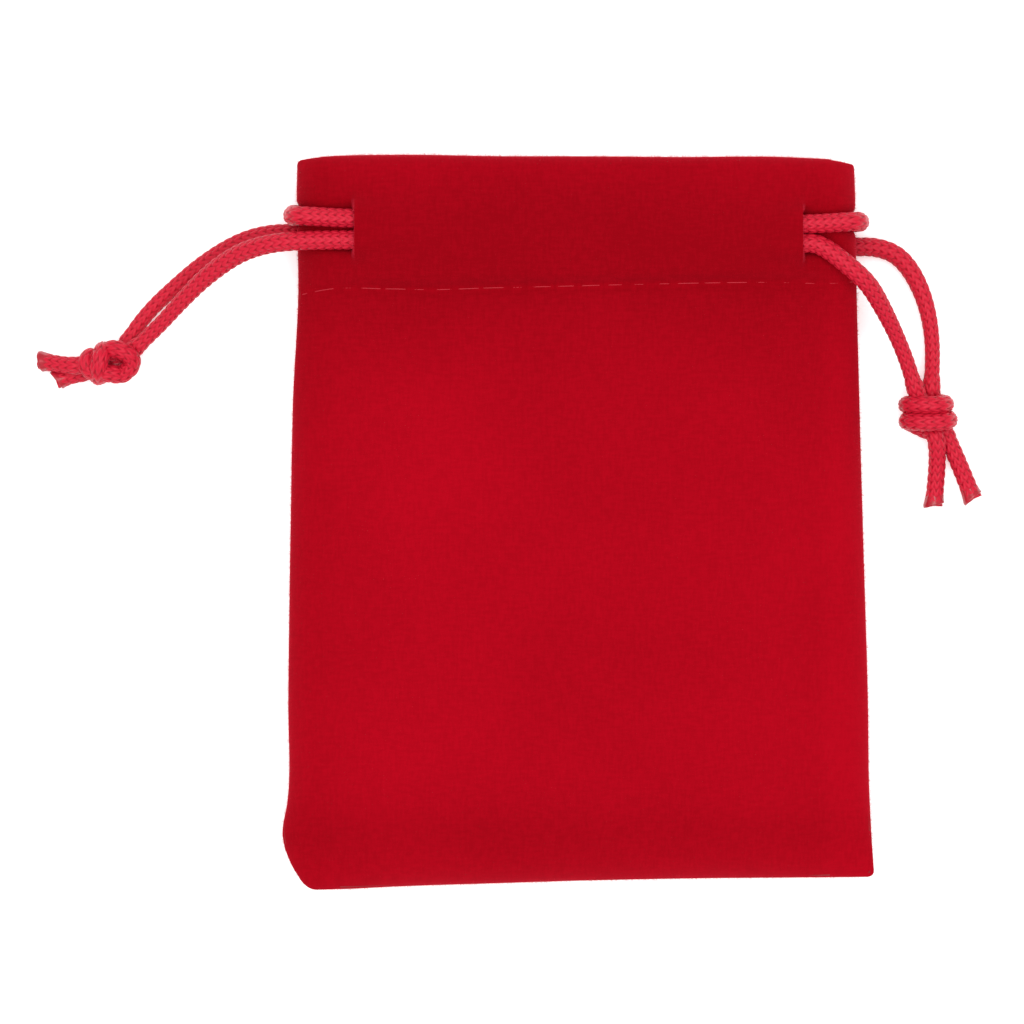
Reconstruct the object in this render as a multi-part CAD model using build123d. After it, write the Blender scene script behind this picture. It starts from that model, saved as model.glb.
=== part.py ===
"""A small velvet gift pouch with a double drawstring, empty and lying on its back.

Millimetres. X runs across the mouth, +Y from the bottom seam to the mouth and +Z up.
The origin is on the surface that the pouch lies on, under the middle of the pouch.
"""

from build123d import *
from math import radians, tan
import os

# The pouch
POUCH_LENGTH = 90.0
MOUTH_WIDTH = 68.8
BASE_WIDTH = 72.4
CLOTH = 0.6
SEAM_ALLOWANCE = 4.0
BACK_EDGE_RISE = 6.0  # width of the back's slope up to a seam
FRONT_EDGE_FALL = 17.0  # width of the front's slope down to a side seam
BOTTOM_FALL = 12.0  # length of the front's slope down to the bottom seam
BELLY_DROP = 2.4  # how much lower the belly of the front lies than the casing
BELLY_SLOPE = 6.0  # length of the slope from the casing down to the belly

# The casing that the cords run in
HEM_DEPTH = 16.4  # from the mouth to the casing's lower wall
STRIP_WIDTH = 6.9  # from a slit to the side edge
SLIT_GAP = 0.2  # between a panel and the side strip beyond its slit
MOUTH_GAP = 4.4
FOLD_RADIUS = 1.0

# The stitching
STITCH_LENGTH = 2.2
STITCH_PITCH = 3.0
THREAD = 0.35
THREAD_DEPTH = 0.25
STITCH_INSET = 3.0  # from a seam's outer edge

# The cords
CORD_DIAMETER = 2.4
CORD_ROOM = 0.2
ARC_SHARE = 0.45  # share of the shorter run beside a corner that the corner's arc takes
FLAT_WIDTH = 3.4  # a cord pressed flat where the other one crosses it
FLAT_ROOM = 0.2  # between the two flattened cords
CROSSING_HALF = 4.0  # half the length over which the cords cross
CROSSING_SWAY = 0.2  # how far a crossing has come over from its lane, half way to the middle
LOOP_OVERHANG = 0.45  # from the side edge out to the loop's centre line
LOOP_ROOM = 0.35  # between a loop and the edge that it pulls in
NOTCH_ROOM = 1.1  # beside a loop, in the notch that it makes in the edge
WRAP_NEST = 0.3  # how far each wrap of a knot beds into the next
KNOT_CORE_INSET = 0.5
TIP_LENGTH = 1.2
TIP_FLARE = 0.1  # how much thicker a sealed tip is than its cord

# Places that follow from those sizes
MOUTH_Y = POUCH_LENGTH / 2
BOTTOM_Y = -POUCH_LENGTH / 2
WIDEST_HALF = max(MOUTH_WIDTH, BASE_WIDTH) / 2
SLIT_FROM_MIDDLE = MOUTH_WIDTH / 2 - STRIP_WIDTH
HEM_Y = MOUTH_Y - HEM_DEPTH
CORD_SPACE = CORD_DIAMETER + 2 * CORD_ROOM
BACK_CORD_Z = CLOTH + CORD_SPACE / 2
FLAT_THICKNESS = (CORD_SPACE - CORD_ROOM - FLAT_ROOM) / 2
STRIP_FLOOR = CLOTH + CORD_SPACE
POCKET_FLOOR = STRIP_FLOOR + CLOTH
SEAM_HEIGHT = POCKET_FLOOR
POCKET_CEILING = POCKET_FLOOR + MOUTH_GAP
STRIP_TOP = POCKET_CEILING + CLOTH
FRONT_CORD_Z = STRIP_TOP + CORD_SPACE / 2
CASING_TOP = STRIP_TOP + CORD_SPACE + CLOTH
PANEL_HALF = SLIT_FROM_MIDDLE - SLIT_GAP / 2
STRIP_START = SLIT_FROM_MIDDLE + SLIT_GAP / 2
LOOP_X = MOUTH_WIDTH / 2 + LOOP_OVERHANG
LOOP_BITE = CORD_DIAMETER / 2 - LOOP_OVERHANG + LOOP_ROOM
NOTCH_HALF = CORD_DIAMETER / 2 + NOTCH_ROOM
WRAP_PITCH = CORD_DIAMETER - WRAP_NEST
TIP_DIAMETER = CORD_DIAMETER + TIP_FLARE

# Each strand's distance above the casing's lower wall, where it passes a slit. A cord's loop
# lies at the other cord's slit, above that cord's tails.
LEFT_LANES = {"front_tail": 6.1, "back_tail": 6.8}
RIGHT_LANES = {"front_tail": 5.7, "back_tail": 5.6}
LEFT_LOOP_ROOM = {"front": 0.3, "back": 0.5}
RIGHT_LOOP_ROOM = {"front": 0.6, "back": 0.3}
for face in ("front", "back"):
    LEFT_LANES[face + "_loop"] = RIGHT_LANES[face + "_tail"] + CORD_DIAMETER + LEFT_LOOP_ROOM[face]
    RIGHT_LANES[face + "_loop"] = LEFT_LANES[face + "_tail"] + CORD_DIAMETER + RIGHT_LOOP_ROOM[face]

# Routes of the free strands, as (out from the slit, up from the casing's lower wall, height).
# A height of None is the strand's own height inside the casing.
LEFT_FRONT_TAIL = [
    (0.0, 6.1, None),
    (3.4, 6.1, None),
    (6.8, 6.0, None),
    (10.6, 5.7, 9.7),
    (14.5, 4.5, 8.0),
    (18.5, 1.7, 6.2),
    (21.6, -1.4, 5.0),
    (24.0, -4.8, 4.1),
    (26.1, -7.6, 3.5),
    (28.9, -9.6, 3.2),
]
LEFT_BACK_TAIL = [
    (0.0, 6.8, None),
    (3.2, 6.8, None),
    (6.2, 7.0, 1.8),
    (8.9, 7.3, 1.4),
    (12.2, 6.9, 1.25),
    (15.3, 5.7, 1.3),
    (19.1, 3.3, 1.25),
    (22.3, 0.7, 1.3),
    (25.1, -1.8, 1.25),
    (27.6, -4.4, 1.4),
    (29.4, -6.6, 2.0),
    (30.7, -8.4, 2.7),
]
RIGHT_FRONT_TAIL = [
    (0.0, 5.7, None),
    (1.7, 5.7, None),
    (3.5, 4.7, None),
    (5.1, 3.4, None),
    (6.8, 2.0, 10.3),
    (8.3, 0.5, 9.6),
    (9.5, -1.7, 8.2),
    (11.0, -5.0, 6.3),
    (12.3, -8.4, 5.0),
    (13.3, -12.0, 4.3),
    (14.1, -15.0, 4.2),
]
RIGHT_BACK_TAIL = [
    (0.0, 5.6, None),
    (3.1, 5.6, None),
    (6.3, 5.5, 1.7),
    (9.3, 5.6, 1.25),
    (12.0, 4.7, 1.3),
    (14.0, 2.4, 1.25),
    (15.3, -0.9, 1.3),
    (15.9, -4.5, 1.25),
    (16.1, -8.1, 1.4),
    (16.1, -11.6, 2.0),
    (16.0, -15.0, 2.6),
]

# The ends of each cord past its knot, in the same terms
LEFT_FRONT_END = [
    (31.4, -8.8, 3.8),
    (34.1, -8.8, 3.3),
    (36.6, -8.4, 2.2),
    (38.9, -8.4, 1.35),
]
LEFT_BACK_END = [
    (31.2, -10.0, 1.6),
    (33.3, -10.6, 1.35),
    (35.4, -11.4, 1.35),
    (37.3, -11.8, 1.35),
]
RIGHT_FRONT_END = [
    (16.1, -15.6, 4.3),
    (16.4, -18.9, 3.2),
    (16.4, -22.4, 1.7),
    (16.1, -26.2, 1.35),
]
RIGHT_BACK_END = [
    (16.9, -15.6, 1.7),
    (18.1, -18.6, 1.35),
    (19.5, -21.9, 1.35),
    (21.0, -25.2, 1.35),
]

# Each knot: wraps, radius, centre in the same terms, and its axis
LEFT_KNOT = {"wraps": 3, "radius": 2.65, "centre": (30.4, -9.0, 2.75), "axis": (1.0, 0.25, 0.0)}
RIGHT_KNOT = {"wraps": 2, "radius": 3.3, "centre": (15.3, -15.2, 3.4), "axis": (0.0, 1.0, 0.0)}


def half_width(y):
    """Half the pouch's width at a distance along it."""
    share = (MOUTH_Y - y) / POUCH_LENGTH
    return (MOUTH_WIDTH + share * (BASE_WIDTH - MOUTH_WIDTH)) / 2


def block(x0, x1, y0, y1, z0, z1):
    """A box between six planes."""
    middle = ((x0 + x1) / 2, (y0 + y1) / 2, (z0 + z1) / 2)
    return Pos(*middle) * Box(x1 - x0, y1 - y0, z1 - z0)


def upright(corners, z0, z1):
    """A prism that stands on a plan outline."""
    return extrude(Plane.XY.offset(z0) * Polygon(*corners, align=None), amount=z1 - z0)


def plan(inset, y_end):
    """The outline of the pouch below the casing, moved in from its edges."""
    start = BOTTOM_Y + inset
    base = half_width(start) - inset
    end = half_width(y_end) - inset
    return [(-base, start), (base, start), (end, y_end), (-end, y_end)]


def pillow(inset):
    """The pouch's body below the casing, filled, with every face moved in by the inset."""
    y_end = HEM_Y - inset
    low, high = inset, CASING_TOP - inset
    half = WIDEST_HALF
    body = upright(plan(inset, y_end), low, high)
    across = [
        (-half, SEAM_HEIGHT),
        (-half + BACK_EDGE_RISE, low),
        (half - BACK_EDGE_RISE, low),
        (half, SEAM_HEIGHT),
        (half - FRONT_EDGE_FALL, high),
        (-half + FRONT_EDGE_FALL, high),
    ]
    along = [
        (BOTTOM_Y, SEAM_HEIGHT),
        (BOTTOM_Y + BACK_EDGE_RISE, low),
        (y_end, low),
        (y_end, high),
        (HEM_Y - BELLY_SLOPE, high - BELLY_DROP / 2),
        (BOTTOM_Y + BOTTOM_FALL, high - BELLY_DROP),
    ]
    crossways = Plane.XZ.offset(-MOUTH_Y) * Polygon(*across, align=None)
    lengthways = Plane.YZ.offset(-half) * Polygon(*along, align=None)
    return body & extrude(crossways, amount=POUCH_LENGTH) & extrude(lengthways, amount=2 * half)


def allowance(z0, z1):
    """A seam allowance: a strip of cloth inside the side and bottom seams."""
    strip = upright(plan(0, HEM_Y), z0, z1)
    strip -= upright(plan(SEAM_ALLOWANCE, HEM_Y + CLOTH), z0, z1)
    return strip & pillow(0)


def casing(outer_z, inner_z):
    """A hem folded into the mouth: an outer and an inner layer, a fold and a stitched wall."""
    low, high = min(outer_z, inner_z), max(outer_z, inner_z)
    hem = block(-PANEL_HALF, PANEL_HALF, HEM_Y - CLOTH, MOUTH_Y, low, high)
    fold = hem.edges().filter_by(Axis.X).group_by(Axis.Y)[-1]
    hem = fillet(fold, FOLD_RADIUS)
    tunnel = block(-PANEL_HALF, PANEL_HALF, HEM_Y, MOUTH_Y - CLOTH, low + CLOTH, high - CLOTH)
    return hem - tunnel


def stitch_row(count, place, size):
    """Stitches in a row, as separate solids: place(i) gives the middle of each."""
    return [Pos(*place(i)) * Box(*size) for i in range(count)]


def hem_stitches(z):
    """The stitching that closes the casing, sunk into the outer face of a panel."""
    count = int(2 * PANEL_HALF / STITCH_PITCH)
    start = -(count - 1) * STITCH_PITCH / 2
    size = (STITCH_LENGTH, THREAD, THREAD_DEPTH)
    return stitch_row(count, lambda i: (start + i * STITCH_PITCH, HEM_Y - CLOTH / 2, z), size)


def side_stitches(side):
    """The stitching of one side seam, through both seam allowances."""
    start = BOTTOM_Y + 2 * STITCH_INSET
    count = int((HEM_Y - STITCH_INSET - start) / STITCH_PITCH)
    size = (THREAD, STITCH_LENGTH, 2 * CLOTH + THREAD)

    def place(i):
        y = start + i * STITCH_PITCH
        return (side * (half_width(y) - STITCH_INSET), y, SEAM_HEIGHT)

    return stitch_row(count, place, size)


def bottom_stitches():
    """The stitching of the bottom seam."""
    count = int((BASE_WIDTH - 4 * STITCH_INSET) / STITCH_PITCH)
    start = -(count - 1) * STITCH_PITCH / 2
    size = (STITCH_LENGTH, THREAD, 2 * CLOTH + THREAD)
    y = BOTTOM_Y + STITCH_INSET
    return stitch_row(count, lambda i: (start + i * STITCH_PITCH, y, SEAM_HEIGHT), size)


def panels(cut_by):
    """The back and the front panel, each with its hem, its seam allowance and thread holes."""
    hollow = pillow(CLOTH)
    throat = block(-PANEL_HALF, PANEL_HALF, HEM_Y - 2 * CLOTH, MOUTH_Y, POCKET_FLOOR, POCKET_CEILING)
    shell = pillow(0) - hollow - throat
    half = WIDEST_HALF
    under_seam = block(-half, half, BOTTOM_Y, HEM_Y, 0, SEAM_HEIGHT)
    over_seam = block(-half, half, BOTTOM_Y, HEM_Y, SEAM_HEIGHT, CASING_TOP)
    back = (shell & under_seam) + allowance(SEAM_HEIGHT - CLOTH, SEAM_HEIGHT)
    front = (shell & over_seam) + allowance(SEAM_HEIGHT, SEAM_HEIGHT + CLOTH)
    back += casing(0, POCKET_FLOOR)
    front += casing(POCKET_CEILING, CASING_TOP)
    for stitch in cut_by:
        back -= stitch
        front -= stitch
    return back, front


def side_strip(side, loop_y):
    """The hemmed side of the mouth beyond the slits, notched where a cord's loop goes round it."""
    edge = MOUTH_WIDTH / 2
    radius = (STRIP_TOP - STRIP_FLOOR) / 2
    middle_z = STRIP_FLOOR + radius

    def length(end, y0, y1):
        flat = end - radius - STRIP_START
        profile = Pos(STRIP_START + flat / 2, middle_z) * Rectangle(flat, 2 * radius)
        profile += Pos(end - radius, middle_z) * Circle(radius)
        profile &= Pos(STRIP_START + edge / 2, middle_z) * Rectangle(edge, 2 * radius)
        return extrude(Plane.XZ.offset(-y1) * profile, amount=y1 - y0)

    notch = (loop_y - NOTCH_HALF, loop_y + NOTCH_HALF)
    strip = length(edge, HEM_Y + SLIT_GAP, notch[0])
    strip += length(edge - LOOP_BITE, *notch)
    strip += length(edge, notch[1], MOUTH_Y)
    return strip if side > 0 else mirror(strip, Plane.YZ)


def corner_radii(runs):
    """The radius of each arc that joins two straight runs."""
    radii = []
    for before, after in zip(runs, runs[1:]):
        half_turn = radians(before.get_angle(after)) / 2
        radii.append(ARC_SHARE * min(before.length, after.length) / tan(half_turn))
    return radii


def tube(name, points):
    """A round cord along straight runs joined by tangent arcs."""
    corners = [Vector(*p) for p in points]
    radii = corner_radii([b - a for a, b in zip(corners, corners[1:])])
    path = FilletPolyline(*corners, radius=radii) if radii else Line(*corners)
    section = Plane(origin=path @ 0, z_dir=path % 0) * Circle(CORD_DIAMETER / 2)
    solid = sweep(section, path=path)
    share = solid.volume / (section.area * path.length)
    smallest = min(radii, default=0) / CORD_DIAMETER
    print(f"{name}: length {path.length:.1f}, radii {[round(r, 1) for r in radii]},"
          f" smallest {smallest:.1f} diameters, volume share {share:.3f}")
    return solid


def flat_tube(name, points, z):
    """A cord pressed flat, along straight runs joined by tangent arcs in one plane."""
    corners = [Vector(x, y, z) for x, y in points]
    radii = corner_radii([b - a for a, b in zip(corners, corners[1:])])
    path = FilletPolyline(*corners, radius=radii)
    across = Plane(origin=path @ 0, x_dir=(0, 0, 1), z_dir=path % 0)
    solid = sweep(across * Ellipse(FLAT_THICKNESS / 2, FLAT_WIDTH / 2), path=path)
    print(f"{name} crossing: length {path.length:.1f}, radii {[round(r, 1) for r in radii]}")
    return solid


def placed(side, points, inside_z=FRONT_CORD_Z):
    """A route given from the slit and the casing's lower wall, in the pouch's own frame."""
    found = []
    for out, up, z in points:
        height = inside_z if z is None else z
        found.append((side * (SLIT_FROM_MIDDLE + out), HEM_Y + up, height))
    return found


def hidden_run(name, side, lane_in, lane_out, z, lift):
    """A cord inside the casing, from its own slit to the far one, flat where it crosses the other."""
    near, far = HEM_Y + lane_in, HEM_Y + lane_out
    own = side * SLIT_FROM_MIDDLE
    turn = side * CROSSING_HALF
    start = tube(name + " start", [(own, near, z), (turn, near, z)])
    bend = [
        (turn, near),
        (turn / 2, near + CROSSING_SWAY),
        (-turn / 2, far - CROSSING_SWAY),
        (-turn, far),
    ]
    crossing = flat_tube(name, bend, z + lift)
    end = tube(name + " end", [(-turn, far, z), (-own, far, z)])
    return start + crossing + end


def loop(name, side, front_lane, back_lane):
    """A cord's loop round the edge of the far side strip, from its front slit to its back slit."""
    far = -side
    front_y, back_y = HEM_Y + front_lane, HEM_Y + back_lane
    points = [
        (far * SLIT_FROM_MIDDLE, front_y, FRONT_CORD_Z),
        (far * LOOP_X, front_y, FRONT_CORD_Z),
        (far * LOOP_X, back_y, BACK_CORD_Z),
        (far * SLIT_FROM_MIDDLE, back_y, BACK_CORD_Z),
    ]
    return tube(name, points)


def knot(side, shape):
    """The outer shape of a tight knot: wraps of cord round a core."""
    (centre,) = placed(side, [shape["centre"]])
    ax, ay, az = shape["axis"]
    minor = CORD_DIAMETER / 2
    major = shape["radius"] - minor
    spread = (shape["wraps"] - 1) * WRAP_PITCH
    turned = Plane(origin=centre, z_dir=(side * ax, ay, az))
    solid = Cylinder(shape["radius"] - KNOT_CORE_INSET, spread + minor)
    for i in range(shape["wraps"]):
        solid += Pos(0, 0, i * WRAP_PITCH - spread / 2) * Torus(major, minor)
    return turned * solid


def free_end(name, side, points, knotted):
    """The cord past its knot, and its heat-sealed tip."""
    route = [Vector(*p) for p in placed(side, points)]
    heading = (route[-1] - route[-2]).normalized()
    route[-1] -= heading * TIP_LENGTH
    cord = tube(name, [tuple(p) for p in route]) - knotted
    seat = Plane(origin=route[-1], z_dir=heading)
    tip = extrude(seat * Circle(TIP_DIAMETER / 2), amount=TIP_LENGTH)
    return largest(cord), tip


def largest(shape):
    """The largest solid of a shape that a cut has left in pieces."""
    return max(shape.solids(), key=lambda s: s.volume)


def drawcord(name, side, lanes, tails, ends, knot_shape, lift):
    """One cord: two tails knotted together on its own side and a loop round the far side."""
    knotted = knot(side, knot_shape)
    front_z, back_z = FRONT_CORD_Z, BACK_CORD_Z
    pieces = {name + "_knot": knotted}
    for face, route, z in zip(("front", "back"), tails, (front_z, back_z)):
        node = f"{name}_cord_{face}_tail"
        pieces[node] = largest(tube(node, placed(side, route, z)) - knotted)
    pieces[f"{name}_cord_front_run"] = hidden_run(
        f"{name}_cord_front_run", side, lanes["front_tail"], lanes["front_loop"], front_z, lift
    )
    pieces[f"{name}_cord_back_run"] = hidden_run(
        f"{name}_cord_back_run", side, lanes["back_tail"], lanes["back_loop"], back_z, lift
    )
    pieces[f"{name}_cord_loop"] = loop(
        f"{name}_cord_loop", side, lanes["front_loop"], lanes["back_loop"]
    )
    tips = []
    for face, route in zip(("front", "back"), ends):
        node = f"{name}_cord_{face}_end"
        pieces[node], tip = free_end(node, side, route, knotted)
        tips.append(tip)
    pieces[name + "_sealed_tips"] = Compound(children=tips)
    return pieces


def pouch():
    """Every piece of the pouch's cloth and thread."""
    front_hem = hem_stitches(CASING_TOP - THREAD_DEPTH / 2)
    back_hem = hem_stitches(THREAD_DEPTH / 2)
    left_seam = side_stitches(-1)
    right_seam = side_stitches(1)
    bottom_seam = bottom_stitches()
    back, front = panels(front_hem + back_hem + left_seam + right_seam + bottom_seam)
    right_loop_y = HEM_Y + (RIGHT_LANES["front_loop"] + RIGHT_LANES["back_loop"]) / 2
    left_loop_y = HEM_Y + (LEFT_LANES["front_loop"] + LEFT_LANES["back_loop"]) / 2
    return {
        "back_panel": back,
        "front_panel": front,
        "left_side_strip": side_strip(-1, right_loop_y),
        "right_side_strip": side_strip(1, left_loop_y),
        "front_hem_stitching": Compound(children=front_hem),
        "back_hem_stitching": Compound(children=back_hem),
        "left_side_stitching": Compound(children=left_seam),
        "right_side_stitching": Compound(children=right_seam),
        "bottom_stitching": Compound(children=bottom_seam),
    }


def main():
    """Makes every piece and writes each to its own file."""
    lift = CORD_SPACE / 2 - CORD_ROOM / 2 - FLAT_THICKNESS / 2
    left_tails = (LEFT_FRONT_TAIL, LEFT_BACK_TAIL)
    left_ends = (LEFT_FRONT_END, LEFT_BACK_END)
    right_tails = (RIGHT_FRONT_TAIL, RIGHT_BACK_TAIL)
    right_ends = (RIGHT_FRONT_END, RIGHT_BACK_END)
    nodes = pouch()
    nodes |= drawcord("left", -1, LEFT_LANES, left_tails, left_ends, LEFT_KNOT, lift)
    nodes |= drawcord("right", 1, RIGHT_LANES, right_tails, right_ends, RIGHT_KNOT, -lift)
    os.makedirs("parts", exist_ok=True)
    for name, shape in nodes.items():
        export_step(shape, f"parts/{name}.step")


main()
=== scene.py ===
"""A red velvet gift pouch with a double drawstring, lying on its back.

The frame gives every place: the cloth, the cords and the stitching are built round it.
"""

import math
import random
from functools import partial

import bmesh
import bpy
import numpy as np
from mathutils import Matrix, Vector, noise
from mathutils.bvhtree import BVHTree


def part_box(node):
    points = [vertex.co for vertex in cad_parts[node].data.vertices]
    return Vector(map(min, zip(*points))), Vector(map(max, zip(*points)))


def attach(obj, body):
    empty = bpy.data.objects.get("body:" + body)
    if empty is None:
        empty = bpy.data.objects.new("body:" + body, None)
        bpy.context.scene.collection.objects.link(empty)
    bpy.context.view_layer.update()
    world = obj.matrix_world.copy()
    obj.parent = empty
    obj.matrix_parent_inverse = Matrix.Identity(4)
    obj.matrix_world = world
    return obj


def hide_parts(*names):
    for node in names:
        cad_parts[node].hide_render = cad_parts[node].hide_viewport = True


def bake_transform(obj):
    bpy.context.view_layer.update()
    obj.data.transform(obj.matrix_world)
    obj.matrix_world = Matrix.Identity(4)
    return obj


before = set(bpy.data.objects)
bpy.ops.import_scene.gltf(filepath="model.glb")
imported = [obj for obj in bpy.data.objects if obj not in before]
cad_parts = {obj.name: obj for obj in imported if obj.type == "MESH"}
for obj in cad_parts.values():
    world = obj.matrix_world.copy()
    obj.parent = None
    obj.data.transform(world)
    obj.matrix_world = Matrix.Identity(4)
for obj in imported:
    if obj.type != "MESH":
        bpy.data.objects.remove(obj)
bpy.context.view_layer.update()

bl_info = {
    "name": "Drawstring gift pouch",
    "version": (1, 0, 0),
    "blender": (4, 5, 0),
    "location": "3D View > Sidebar > Pouch",
    "description": "Builds a velvet pouch with two knitted drawcords",
    "category": "Add Mesh",
}

MM = 0.001

# Places that come from the frame
STRIP_LOW, STRIP_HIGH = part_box("right_side_strip")
LOOP_LOW, LOOP_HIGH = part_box("left_cord_loop")
SLIT_GAP = 0.2 * MM
SLIT_X = STRIP_LOW[0] - SLIT_GAP / 2
HEM_Y = STRIP_LOW[1] - SLIT_GAP
MOUTH_Y = STRIP_HIGH[1]
CORD_RADIUS = 1.2 * MM
FRONT_CORD_Z = LOOP_HIGH[2] - CORD_RADIUS
BACK_CORD_Z = LOOP_LOW[2] + CORD_RADIUS
CORD_LEVELS = {"front": FRONT_CORD_Z, "back": BACK_CORD_Z}
CASING_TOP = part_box("front_panel")[1][2]
SIDES = (("left", -1), ("right", 1))
FACES = ("front", "back")


def metres(points):
    """Points given in millimetres, in metres. A height left open as None stays open."""
    return [tuple(part if part is None else part * MM for part in point) for point in points]


# Sizes of the cloth's folds and of the meshes
USUAL_HALF = 34.5 * MM  # half the pouch's width, near enough to find its edges by
SIDE_BEND = 3.1 * MM
SLIT_COLUMN = 27.5  # the column of each half panel that is cut open, in millimetres
MOUTH_FOLD = 1.7 * MM
HEM_INSET = 1.6 * MM
BOTTOM_ROLL = 3.0 * MM
LEAST_HEIGHT = 0.02 * MM
CORD_STEP = 0.11 * MM
THREAD_STEP = 0.18 * MM
LOOSE_FIBRES = 3600  # on each half panel, which is also the seed of their places
SEEN_MIDDLE = (-8.17 * MM, 1.29 * MM)

# Outlines of the pouch, as (along the edge, out from the middle), joined by smooth curves
LEFT_EDGE = metres([
    (-45, 35.2), (-42, 35.7), (-38.5, 36.4), (-34.5, 35.8), (-22, 35.7), (0.3, 35.4), (15, 35.1),
    (28.5, 34.4), (40, 34.6), (45, 34.5),
])
RIGHT_EDGE = metres([
    (-45, 36.6), (-42.5, 36.4), (-34, 35.9), (-21.8, 35.7), (-4.6, 35.2), (12.6, 34.7), (29, 34.2),
    (35, 34.1), (43.5, 33.9), (45, 33.8),
])
BOTTOM_EDGE = metres([
    (-36, -45.5), (-30.5, -45.4), (-22, -45), (-9.6, -44.6), (0, -44.3), (15, -44), (27, -43.9),
    (36, -43.8),
])
MOUTH_EDGE = metres([
    (-34.5, 44.6), (-32.5, 44.9), (-30, 45.1), (-22, 45.2), (-9, 45), (0, 45), (12, 44.9), (27, 44.9),
    (32, 44.6), (34.5, 44.1),
])
HEM_LINE = metres([
    (-34.5, 28), (-30.7, 28.7), (-23.4, 28.7), (-17.8, 28.6), (-11.2, 28.8), (-2.5, 29), (9.8, 29.3),
    (23, 29.5), (32.4, 29.5), (34.5, 29.7),
])
FRONT_LEVEL = metres([  # (along the pouch, height of its front)
    (-45, 9), (-10, 9.4), (20, 10.3), (26.5, 10.8), (30, 11.6), (33, 12.3), (39, 12.4), (45, 11.8),
])
CORNER_ROUNDS = {  # width and length of the round at each corner, with -1 for the left side
    (-1, "bottom"): (3.1 * MM, 5.0 * MM), (1, "bottom"): (0.9 * MM, 0.8 * MM),
    (-1, "mouth"): (0.5 * MM, 0.4 * MM), (1, "mouth"): (0.3 * MM, 0.3 * MM),
}

# Routes of the free cords, as (out from the slit, up from the casing's lower wall, height).
# A height of None is the height of the front strand inside the casing.
LEFT_FRONT_TAIL = metres([
    (0, 6.1, None), (3.4, 6.1, None), (6.8, 6, None), (10.6, 5.7, 9.7), (14.5, 4.5, 8),
    (18.5, 1.7, 6.2), (21.6, -1.4, 5), (23.8, -3.8, 4.1), (25.9, -5.8, 3.6),
])
LEFT_BACK_TAIL = metres([
    (0, 6.8, 2), (3.2, 6.8, 2), (6.2, 7, 1.8), (8.9, 7.3, 1.4), (12.2, 6.9, 1.25), (15.3, 5.7, 1.3),
    (19.1, 3.3, 1.25), (22.3, 0.7, 1.3), (25.1, -1.8, 1.25), (27.3, -4.5, 1.4),
])
RIGHT_FRONT_TAIL = metres([
    (0, 5.7, None), (1.7, 5.7, None), (3.5, 4.7, None), (5.1, 3.4, None), (6.8, 2, 10.3),
    (8.3, 0.5, 9.6), (9.7, -1.7, 8.2), (11.5, -5, 6.3), (13, -8.4, 5),
])
RIGHT_BACK_TAIL = metres([
    (0, 5.6, 2), (3.1, 5.6, 2), (6.3, 5.5, 1.7), (9.3, 5.6, 1.25), (12, 4.7, 1.3), (14, 2.4, 1.25),
    (15.5, -0.9, 1.3), (16.3, -4.5, 1.25), (16.5, -8.1, 1.4),
])
LEFT_FRONT_END = metres([(34.5, -9.2, 3.1), (36.4, -9.1, 2.5), (39.1, -8.6, 1.4)])
LEFT_BACK_END = metres([(34.1, -10.1, 1.25), (35.7, -10.5, 1.3), (37.2, -11, 1.35)])
RIGHT_FRONT_END = metres([(17, -19.2, 2.7), (17, -22.4, 1.6), (16.6, -26.5, 1.35)])
RIGHT_BACK_END = metres([(18.4, -18.3, 1.4), (20, -21.9, 1.3), (21.5, -25.7, 1.35)])

# Each strand's turns in its knot, as (right, towards the mouth, up) from the knot's middle
LEFT_KNOT_FRONT = metres([
    (3.2, 2, 0.2), (1.6, 1, -0.9), (0.2, 0.9, -0.6), (-0.4, 1.7, 0.7), (0.8, 1.9, 1.8), (2.5, 1.2, 1.5),
    (2.9, 0, 0.8), (1.6, -1.4, 0.5), (0.1, -1.2, 1.2), (-1.4, -1, 1.2), (-2.6, -0.8, 0.9), (-3, 0.3, 1),
    (-2.2, 1.1, 0.2), (-1.6, 0.4, -0.9), (-2.8, -0.1, -0.2),
])
LEFT_KNOT_BACK = metres([
    (1.6, 1.9, -1.2), (0.3, 0.3, -1.5), (-0.9, -0.9, -1), (-1.5, -1.8, 0.4), (-1.4, -0.5, 2.1),
    (-1, 1.1, 2.1), (-0.8, 1.9, 0.4), (-0.9, 1, -1.3), (-1.7, -0.3, -1.8), (-2.6, -0.8, -1.8),
])
RIGHT_KNOT_FRONT = metres([
    (-1.4, 2.8, 1.1), (-0.6, 1, 0.2), (1.2, -0.4, -1.3), (2.8, -0.8, -0.3), (2.7, -1, 1.3),
    (1.2, -1.2, 2.1), (-1.2, -1.2, 2), (-2.6, -1, 0.4), (-1.9, -1.2, -1.4), (-0.2, -2.1, -1.3),
    (1.1, -2.5, -0.1),
])
RIGHT_KNOT_BACK = metres([
    (0.6, 2.8, -0.4), (0.9, 1.3, -1.5), (2.2, 1.1, -0.8), (2.4, 1, 1), (1.2, 0.9, 2.1), (-1.1, 0.9, 2),
    (-2.6, 1, 0.5), (-2, 0.8, -1.3), (-0.2, 0.1, -1.7), (1.8, -1.2, -1.2),
])

# How far each run of a cord lies above the casing's lower wall
LEFT_LANES = {"front_tail": 0.0061, "back_tail": 0.0068, "front_loop": 0.0084, "back_loop": 0.0085}
RIGHT_LANES = {"front_tail": 0.0057, "back_tail": 0.0056, "front_loop": 0.0091, "back_loop": 0.0095}


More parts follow.
